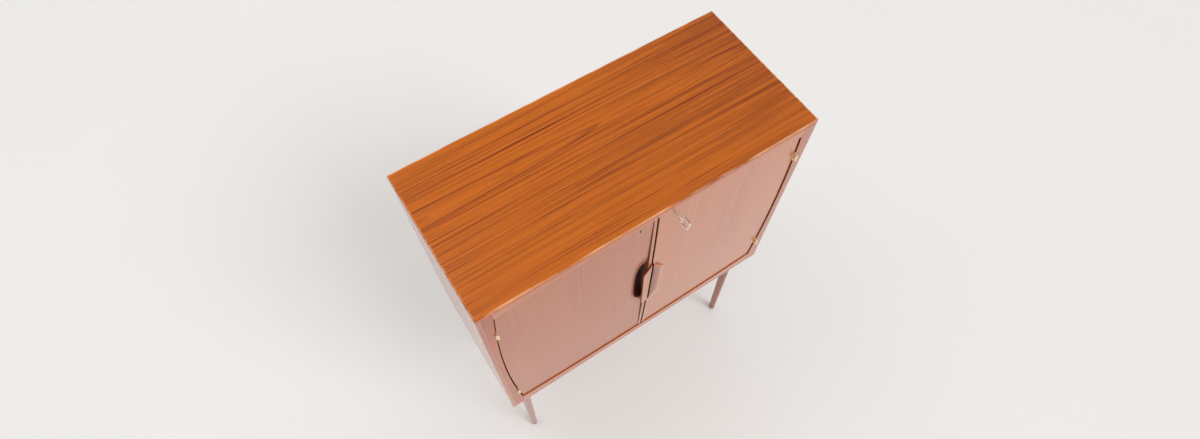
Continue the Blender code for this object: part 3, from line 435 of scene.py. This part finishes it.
def floor_finish():
    """A plain pale floor, a little cloudy."""
    g = Finish("floor")
    cloud = g.noise(g.scaled(g.axis.values(), FLOOR_CLOUD, FLOOR_CLOUD_SEED), detail=3.0)
    grain = g.noise(g.scaled(g.axis.values(), FLOOR_GRAIN, FLOOR_GRAIN_SEED), detail=2.0)
    colour = g.mix(cloud, FLOOR_DARK, FLOOR_LIGHT)
    g.bump(grain, FLOOR_DEPTH, FLOOR_STRENGTH)
    return g.finish(colour=colour, roughness=g.span(grain, *FLOOR_ROUGHNESS), ior=FLOOR_IOR)


# Where shade is painted, in gaps, on faces that look left and in and round the pull. Shade in gaps and on
# faces is given as the share of colour that it leaves

def in_gaps(g, shaded_share=GAP_SHADE):
    """Painted shade on edges that face a gap, and not on the faces to the front and back."""
    return g.span(g.math("ABSOLUTE", g.normal["Y"]), *GAP_NORMALS, shaded_share, 1.0, smooth=True)


def right_stile_edge(g):
    """Less painted shade, on the right stile."""
    return in_gaps(g, RIGHT_STILE_SHADE)


def between_doors(g):
    """Painted shade on the doors' meeting edges."""
    return g.span(g.math("ABSOLUTE", g.axis["X"]), *MEETING_SPAN, MEETING_SHADE, 1.0, smooth=True)


def right_door_edges(g):
    """Painted shade on the edges of the right door."""
    return g.product(in_gaps(g), between_doors(g))


def in_scoop(g):
    """Mask of the hollow of the finger scoop, from its rim inwards."""
    deep = g.product(g.span(g.axis["Y"], *SCOOP_MOUTH, smooth=True), g.fall(g.axis["Y"], *SCOOP_FLOOR))
    return g.product(g.window(g.axis["X"], *SCOOP_ACROSS), deep, g.window(g.axis["Z"], *SCOOP_UP))


def rim_of_scoop(g):
    """Mask of the left door's face round the scoop, down to a little above its lower end."""
    def share(axis, centre, half):
        away = g.math("DIVIDE", g.math("SUBTRACT", g.axis[axis], centre), half)
        return g.math("POWER", g.math("ABSOLUTE", away), SCOOP_SQUARENESS)

    outline = g.math("ADD", share("X", SCOOP_X, SCOOP_HALF_WIDTH), share("Z", SCOOP_Z, SCOOP_HALF_HEIGHT))
    return g.product(g.fall(outline, *RIM_REACH, smooth=True), g.span(g.axis["Z"], *RIM_RISE, smooth=True),
                     g.fall(g.normal["Y"], *RIM_NORMALS))


def round_scoop(g):
    """Mask of where shade is painted on the left door: in the scoop, and less on the face round it."""
    return g.math("MAXIMUM", in_scoop(g), g.product(rim_of_scoop(g), RIM_SHARE))


def left_door_recess(g):
    """Painted shade on the left door's edges and, deeper, in the finger scoop."""
    edges = g.product(in_gaps(g, LEFT_DOOR_SHADE), between_doors(g))
    return g.lessened(edges, in_scoop(g), SCOOP_SHADE_LOSS)


def left_pull_flanks(g):
    """Painted shade on the left strip's meeting edge and on its faces that look left."""
    flank = g.span(g.normal["X"], *FLANK_NORMALS, FLANK_SHADE, 1.0, smooth=True)
    return g.product(g.span(g.normal["X"], *MEETING_NORMALS, 1.0, MEETING_SHADE, smooth=True), flank)


def top_of_swell(g):
    """Mask of a band under the slanting top of the right half of the pull."""
    top = g.math("MULTIPLY_ADD", g.axis["X"], -SWELL_SLOPE, SWELL_TOP)
    under_top = g.math("SUBTRACT", top, g.axis["Z"])
    return g.product(g.window(under_top, *SWELL_BAND), g.fall(g.axis["Y"], *SWELL_RAISED))


def shaded_swell(g):
    """Mask of where shade is painted on the right half of the pull, which also loses polish: less and less
    to the right.
    """
    shade_mask = g.product(g.fall(g.axis["X"], *SWELL_SHADE_ACROSS), g.window(g.axis["Z"], *SWELL_SHADE_UP, smooth=True),
                       g.fall(g.axis["Y"], *SWELL_SHADE_RAISED))
    return g.lessened(shade_mask, top_of_swell(g), 1.0)


# Materials on the pieces

BRASS = metal("brass", srgb(240, 214, 156), srgb(204, 170, 108), roughness=0.26, seed=1.0, metallic=0.85)
HINGE_BRASS = metal("hinge_brass", srgb(250, 232, 188), srgb(222, 192, 134), roughness=0.28, seed=1.2,
                    metallic=0.75)
LINER_BRASS = metal("liner_brass", srgb(246, 228, 186), srgb(206, 176, 120), roughness=0.30, seed=1.5,
                    metallic=0.8, shade=KEYHOLE_SHADE)
NICKEL = metal("nickel", srgb(252, 249, 242), srgb(222, 215, 200), roughness=0.32, seed=2.0, metallic=0.70,
               shaded_sides=KEY_SHADE)
LOCK_STEEL = metal("lock_steel", srgb(168, 168, 166), srgb(120, 116, 108), roughness=0.36, seed=3.0,
                   scratches=BRUSHED)
SCREW_STEEL = metal("screw_steel", srgb(176, 176, 174), srgb(126, 120, 106), roughness=0.34, seed=4.0)
FINE_GRAIN = dict(period=0.0036, ring=0.34, streaks=0.16, lining=0.6, warp=0.005)


def dress(material, *names):
    """Give pieces a material in place of their own."""
    for name in names:
        mesh = nodes[name].data
        mesh.materials.clear()
        mesh.materials.append(material)


def case_wood():
    """The four panels of the case, each cut from its own place in the log."""
    around = (("X", -HALF_WIDTH), ("X", HALF_WIDTH), ("Y", FRONT_Y), ("Y", BACK_Y))
    above = [(place, ("Z", TOP_Z)) for place in around]
    below = [(place, ("Z", CASE_BOTTOM)) for place in around]
    upright = [(flat, face) for flat in around[:2] for face in around[2:]]
    plain = dict(lining=0.8, wear_and_highlight=0.3, **SIDE_TONES)
    # The top gets painted shade, darker towards its right end
    dress(teak("teak_top", "X", "Y", heart=(0.085, 1.175), slope=0.016, curve=0.006, seed=1.0, ring=0.75,
               streaks=0.45, lining=1.4, thread=230.0, wear_and_highlight=0.85, coat=0.45, specular=0.3,
               edges=above + upright, painted_shade_ramp=(-0.05, 0.46, 0.30), **TOP_TONES), "top_panel")
    dress(teak("teak_bottom", "X", "Y", heart=(-0.05, 0.44), slope=0.02, seed=2.0, edges=below, **plain),
          "bottom_panel")
    dress(teak("teak_left_side", "Z", "Y", heart=(0.03, -0.39), slope=0.02, seed=3.0, edges=upright,
               **plain), "left_side_panel")
    dress(teak("teak_right_side", "Z", "Y", heart=(0.0, 0.39), slope=-0.02, seed=4.0, edges=upright,
               **plain), "right_side_panel")


def front_wood():
    """Doors, front frame and the two halves of the pull."""
    dress(teak("teak_left_door", "Z", "X", heart=(-0.60, -0.05), seed=5.0, painted_shade=left_door_recess,
               dull_painted_shade=round_scoop, bare=rim_of_scoop, specular=0.3, rear=DOOR_REAR, **FINE_GRAIN,
               **LEFT_DOOR_TONES), "left_door_panel")
    dress(teak("teak_right_door", "Z", "X", heart=(0.62, -0.05), seed=6.0, painted_shade=right_door_edges,
               rear=DOOR_REAR, **FINE_GRAIN, **RIGHT_DOOR_TONES), "right_door_panel")
    # The left stile gets painted shade in its gaps and towards its top
    dress(teak("teak_left_stile", "Z", "X", heart=(0.1, -0.12), seed=7.0, painted_shade=in_gaps, coat=0.6,
               painted_shade_ramp=(1.02, 1.20, 0.6), **FINE_GRAIN, **STILE_TONES), "left_front_stile")
    dress(teak("teak_right_stile", "Z", "X", heart=(0.1, -0.12), seed=7.5, painted_shade=right_stile_edge,
               coat=0.75, **FINE_GRAIN, **STILE_TONES), "right_front_stile")
    dress(teak("teak_rails", "X", "Z", heart=(0.8, -0.12), seed=8.0, **FINE_GRAIN, **RAIL_TONES),
          "top_front_rail", "bottom_front_rail")
    dress(teak("teak_left_pull", "Z", "X", heart=(0.05, -0.12), seed=9.0, painted_shade=left_pull_flanks,
               **FINE_GRAIN, **RIGHT_DOOR_TONES), "left_door_pull_strip")
    dress(teak("teak_right_pull", "Z", "X", heart=(0.05, -0.12), seed=9.5, painted_shade=between_doors,
               dull_painted_shade=shaded_swell, bare=top_of_swell, **FINE_GRAIN, **RIGHT_DOOR_TONES),
          "right_door_pull_strip")


def base_wood():
    """Legs, of which the front left one kept the most polish, and aprons."""
    base = dict(**FINE_GRAIN, **BASE_TONES)
    for i, place in enumerate(("front_left", "front_right", "back_left", "back_right")):
        dress(teak("teak_leg_" + place, "Z", "X", heart=(0.30 + 0.02 * i, 0.2), seed=10.0 + i,
                   coat=1.0 if place == "front_left" else 0.5, **base), place + "_leg")
    dress(teak("teak_apron_long", "X", "Z", heart=(0.4, 0.3), seed=15.0, **base),
          "front_apron", "back_apron")
    dress(teak("teak_apron_short", "Y", "Z", heart=(0.4, 0.3), seed=16.0, **base),
          "left_apron", "right_apron")


def inner_wood():
    """Partition, shelves and back panel, almost or quite without polish."""
    inner = dict(coat=0.1, roughness=0.5, period=0.004, ring=0.35, streaks=0.3, **INNER_TONES)
    dress(teak("board_partition", "Z", "Y", heart=(0.5, 0.1), seed=17.0, **inner), "centre_partition")
    dress(teak("board_left_shelf", "X", "Y", heart=(0.04, 0.84), slope=0.03, seed=18.0, **inner),
          "left_shelf")
    dress(teak("board_right_shelf", "X", "Y", heart=(0.0, 0.84), slope=0.03, seed=19.0, **inner),
          "right_shelf")
    dress(plywood("plywood_back", "Z", "X", PLY_LIGHT, PLY_DARK, seed=3.0), "back_panel")


def metal_parts():
    """Hinges, locks, key, shelf pins and the screws of the base."""
    for name in nodes:
        if "bolt" in name or "strike" in name or "shelf_pin" in name:
            dress(BRASS, name)
        elif "hinge" in name:
            dress(HINGE_BRASS, name)
        elif name.startswith("base_screw"):
            dress(SCREW_STEEL, name)
    dress(LINER_BRASS, "left_keyhole_liner", "right_keyhole_liner")
    dress(NICKEL, "key")
    dress(LOCK_STEEL, "left_lock_body", "right_lock_body")


# Edges

SMALL_PARTS = ("hinge", "bolt", "liner", "strike", "pin", "screw", "key", "lock")
OUTER_PANELS = ("top_panel", "left_side_panel", "right_side_panel")
OUTER_EDGE, WOOD_EDGE, EDGE_SEGMENTS = 0.0010, 0.0006, 3
SHARP_ANGLE, EDGE_ANGLE = math.radians(32), math.radians(40)


def soften_edges():
    """Smooth shading between sharp edges, and rounded arrises on the wood."""
    for name, obj in nodes.items():
        obj.data.shade_smooth()
        obj.data.set_sharp_from_angle(angle=SHARP_ANGLE)
        if not any(word in name for word in SMALL_PARTS):
            bevel = obj.modifiers.new("worn_edges", "BEVEL")
            bevel.width = OUTER_EDGE if name in OUTER_PANELS else WOOD_EDGE
            bevel.segments = EDGE_SEGMENTS
            bevel.limit_method = "ANGLE"
            bevel.angle_limit = EDGE_ANGLE
            bevel.harden_normals = True


# Heads of small screws, in shares of their radius or height, with turns in radians

HEAD_ROWS = (-0.97, -0.82, -0.58, -0.34)
HEAD_COLUMNS = (-1.0, -0.92, -0.6, -0.2, 0.2, 0.6, 0.92, 1.0)
SLOT_HALF_WIDTH, SLOT_FLOOR, DOME_FALL = 0.16, 0.25, 0.6
HEAD_SHARP_ANGLE, FIRST_TURN, NEXT_TURN = math.radians(40), 0.7, 1.9

# How far the heads are let in, and the radius and height of each kind
HEAD_SEAT = 0.00005
BACK_HEAD, LOCK_HEAD = (0.0032, 0.0011), (0.0026, 0.0007)
STRIKE_HEAD, HINGE_HEAD = (0.0024, 0.0006), (0.0021, 0.0002)

# Where the heads sit: insets from the edges of their pieces, and half the gap between a hinge's leaves
BACK_INSET, BACK_COLUMNS, BACK_ROWS = 0.0065, 5, 4
LOCK_PLATE, LOCK_INSET, LOCK_FROM_LOW, LOCK_FROM_HIGH = 0.0018, 0.004, 0.009, 0.010
STRIKE_INSET = 0.006
LEAF_HALF_GAP, LEAF_INSET, LEAF_RISE = 0.0003, 0.0075, 0.011


def screw_head(radius, height):
    """Points and faces of a low domed head with a slot, standing on z = 0 with the slot along x."""
    slot = SLOT_HALF_WIDTH * radius
    rows = [(t * radius, False) for t in HEAD_ROWS] + [(-slot, False), (-slot, True)]
    rows += [(-t, sunk) for t, sunk in reversed(rows)]
    points, faces = [], []
    for t, sunk in rows:
        chord = math.sqrt(radius ** 2 - t ** 2)
        for part in HEAD_COLUMNS:
            out = (t ** 2 + (part * chord) ** 2) / radius ** 2
            points.append((part * chord, t, height * (SLOT_FLOOR if sunk else 1.0 - DOME_FALL * out)))
    wide, tall = len(HEAD_COLUMNS), len(rows)
    for j in range(tall - 1):
        for i in range(wide - 1):
            k = j * wide + i
            faces.append((k, k + 1, k + 1 + wide, k + wide))
    rim = list(range(wide)) + [j * wide + wide - 1 for j in range(1, tall)]
    rim += [(tall - 1) * wide + i for i in range(wide - 2, -1, -1)]
    rim += [j * wide for j in range(tall - 2, 0, -1)]
    foot = len(points)
    points += [(points[k][0], points[k][1], -HEAD_SEAT) for k in rim]
    for i in range(len(rim)):
        j = (i + 1) % len(rim)
        faces.append((rim[j], rim[i], foot + i, foot + j))
    faces.append(tuple(foot + i for i in reversed(range(len(rim)))))
    return points, faces


def screws(name, body, material, size, places, facing):
    """One piece of several screw heads, each turned its own way, on faces that look along facing."""
    points, faces = [], []
    head, head_faces = screw_head(*size)
    stand = Vector(facing).to_track_quat("Z", "Y").to_matrix()
    for i, place in enumerate(places):
        turn = stand @ Matrix.Rotation(FIRST_TURN + NEXT_TURN * i, 3, "Z")
        faces += [tuple(len(points) + k for k in face) for face in head_faces]
        points += [turn @ Vector(p) + Vector(place) for p in head]
    mesh = bpy.data.meshes.new(name)
    mesh.from_pydata(points, [], faces)
    mesh.materials.append(material)
    mesh.shade_smooth()
    mesh.set_sharp_from_angle(angle=HEAD_SHARP_ANGLE)
    piece = bpy.data.objects.new(name, mesh)
    scene.collection.objects.link(piece)
    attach(piece, body)


def spread(low, high, count):
    """Evenly spaced places, both ends among them."""
    return [low + (high - low) * i / (count - 1) for i in range(count)]


def back_screws():
    """A row of heads round the edge of the back panel."""
    low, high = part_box("back_panel")
    xs = spread(low[0] + BACK_INSET, high[0] - BACK_INSET, BACK_COLUMNS)
    zs = spread(low[2] + BACK_INSET, high[2] - BACK_INSET, BACK_ROWS)
    around = [(x, high[1], z) for x in xs for z in (zs[0], zs[-1])]
    around += [(x, high[1], z) for x in (xs[0], xs[-1]) for z in zs[1:-1]]
    screws("back_screws", "case", SCREW_STEEL, BACK_HEAD, around, (0, 1, 0))


def lock_screws(side):
    """Heads in the corners of a lock's plate and at the ends of its strike plate."""
    low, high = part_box(side + "_lock_body")
    corners = [(x, low[1] + LOCK_PLATE, z) for x in (low[0] + LOCK_INSET, high[0] - LOCK_INSET)
               for z in (low[2] + LOCK_FROM_LOW, high[2] - LOCK_FROM_HIGH)]
    screws(side + "_lock_screws", side + "_door", SCREW_STEEL, LOCK_HEAD, corners, (0, 1, 0))
    low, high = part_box(side + "_strike_plate")
    ends = [(x, (low[1] + high[1]) / 2, low[2]) for x in (low[0] + STRIKE_INSET, high[0] - STRIKE_INSET)]
    screws(side + "_strike_screws", "case", BRASS, STRIKE_HEAD, ends, (0, 0, -1))


def hinge_screws(side, outwards):
    """Heads on the leaves of a door's two hinges, on the faces that look at each other."""
    for leaf, body, facing in (("case_leaf", "case", -outwards), ("door_leaf", side + "_door", outwards)):
        spots = []
        for level in ("upper", "lower"):
            low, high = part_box(side + "_" + level + "_hinge_" + leaf)
            middle = (low[2] + high[2]) / 2
            face = (low[0] + high[0]) / 2 - facing * LEAF_HALF_GAP
            spots += [(face, high[1] - LEAF_INSET, middle + rise) for rise in (-LEAF_RISE, LEAF_RISE)]
        name = side + "_hinge_" + leaf + "_screws"
        screws(name, body, BRASS, HINGE_HEAD, spots, (facing, 0, 0))


def small_screws():
    """Heads of the screws that hold the hinges, locks, strike plates and back panel."""
    back_screws()
    for side, outwards in (("left", -1), ("right", 1)):
        lock_screws(side)
        hinge_screws(side, outwards)


case_wood()
front_wood()
base_wood()
inner_wood()
metal_parts()
soften_edges()
small_screws()


# Stage, light and camera

FLOOR_HALF_SIZE, FLOOR_DROP = 30.0, 0.0005
SUN_STRENGTH, SUN_SPREAD, SUN_HEIGHT = 1.0, math.radians(28), math.radians(44)
SUN_FROM, SUN_DISTANCE = (0.42, -0.91), 4.0
SKYLIGHT_SIZE, SKYLIGHT_POWER = (1.1, 0.8), 7.0
SKYLIGHT_PLACE, SKYLIGHT_AIM = (-1.1, 0.65, 3.2), (0.0, -0.1, 1.1)
SHED_SIDES = (-0.8, 0.8, 0.65, 1.0)
SEEN_HORIZON, SEEN_OVERHEAD = (0.82, 0.82, 0.82, 1.0), (0.06, 0.06, 0.065, 1.0)
SEEN_HEIGHTS, SEEN_LEFT = (0.38, 0.72), (-0.30, -0.08)
CAMERA_PLACE = (-0.4965, -0.6867, 2.516)
CAMERA_HEADING, CAMERA_PITCH, CAMERA_ROLL = math.radians(33.885), math.radians(62.083), math.radians(-0.708)
CAMERA_LENS, SENSOR_WIDTH = 20.564, 36.0


def build_floor():
    """A square floor, just under the feet."""
    mesh = bpy.data.meshes.new("floor")
    bm = bmesh.new()
    bmesh.ops.create_grid(bm, x_segments=1, y_segments=1, size=FLOOR_HALF_SIZE)
    bm.to_mesh(mesh)
    bm.free()
    floor = bpy.data.objects.new("floor", mesh)
    floor.location = (0.0, 0.0, -FLOOR_DROP)
    mesh.materials.append(floor_finish())
    scene.collection.objects.link(floor)


def build_sun():
    """A broad window, far off to the front and right."""
    light = bpy.data.lights.new("window", "SUN")
    light.energy = SUN_STRENGTH
    light.angle = SUN_SPREAD
    lamp = bpy.data.objects.new("window", light)
    level = math.cos(SUN_HEIGHT)
    towards = Vector((SUN_FROM[0] * level, SUN_FROM[1] * level, math.sin(SUN_HEIGHT)))
    lamp.rotation_euler = towards.to_track_quat("Z", "Y").to_euler()
    lamp.location = towards * SUN_DISTANCE
    scene.collection.objects.link(lamp)


def build_skylight():
    """A small soft light overhead, behind and to the left, for the bright line on rods and bows."""
    light = bpy.data.lights.new("skylight", "AREA")
    light.shape = "RECTANGLE"
    light.size, light.size_y = SKYLIGHT_SIZE
    light.energy = SKYLIGHT_POWER
    lamp = bpy.data.objects.new("skylight", light)
    lamp.location = SKYLIGHT_PLACE
    lamp.rotation_euler = (Vector(SKYLIGHT_AIM) - lamp.location).to_track_quat("-Z", "Y").to_euler()
    scene.collection.objects.link(lamp)


def build_world():
    """A pale room that sheds less light from the left. It looks dim overhead, except to the left."""
    world = bpy.data.worlds.new("room")
    scene.world = world
    world.use_nodes = True
    g = Graph(world.node_tree)
    towards = g.split(g.add("ShaderNodeTexCoord").outputs["Generated"])
    shed = g.span(towards["X"], *SHED_SIDES)
    seen = g.mix(g.span(towards["Z"], *SEEN_HEIGHTS), SEEN_HORIZON, SEEN_OVERHEAD)
    seen = g.mix(g.fall(towards["X"], *SEEN_LEFT), seen, SEEN_HORIZON)
    path = g.add("ShaderNodeLightPath").outputs
    looked_at = g.math("MAXIMUM", path["Is Camera Ray"], path["Is Glossy Ray"])
    looked_at = g.math("MAXIMUM", looked_at, path["Is Transmission Ray"])
    g.set(g.tree.nodes["Background"].inputs[0], g.mix(looked_at, shed, seen))


def build_camera():
    """The photo's viewpoint: turned from straight ahead to the right, pitched down and slightly rolled."""
    level = math.cos(CAMERA_PITCH)
    aside, forward = math.sin(CAMERA_HEADING), math.cos(CAMERA_HEADING)
    ahead = Vector((aside * level, forward * level, -math.sin(CAMERA_PITCH)))
    right = Vector((forward, -aside, 0.0))
    down = ahead.cross(right)
    tilted_right = math.cos(CAMERA_ROLL) * right + math.sin(CAMERA_ROLL) * down
    tilted_down = math.cos(CAMERA_ROLL) * down - math.sin(CAMERA_ROLL) * right
    data = bpy.data.cameras.new("camera")
    data.sensor_width = SENSOR_WIDTH
    data.lens = CAMERA_LENS
    camera = bpy.data.objects.new("camera", data)
    turn = Matrix((tilted_right, -tilted_down, -ahead)).transposed().to_4x4()
    camera.matrix_world = Matrix.Translation(CAMERA_PLACE) @ turn
    scene.collection.objects.link(camera)
    scene.camera = camera


build_floor()
build_world()
build_sun()
build_skylight()
build_camera()
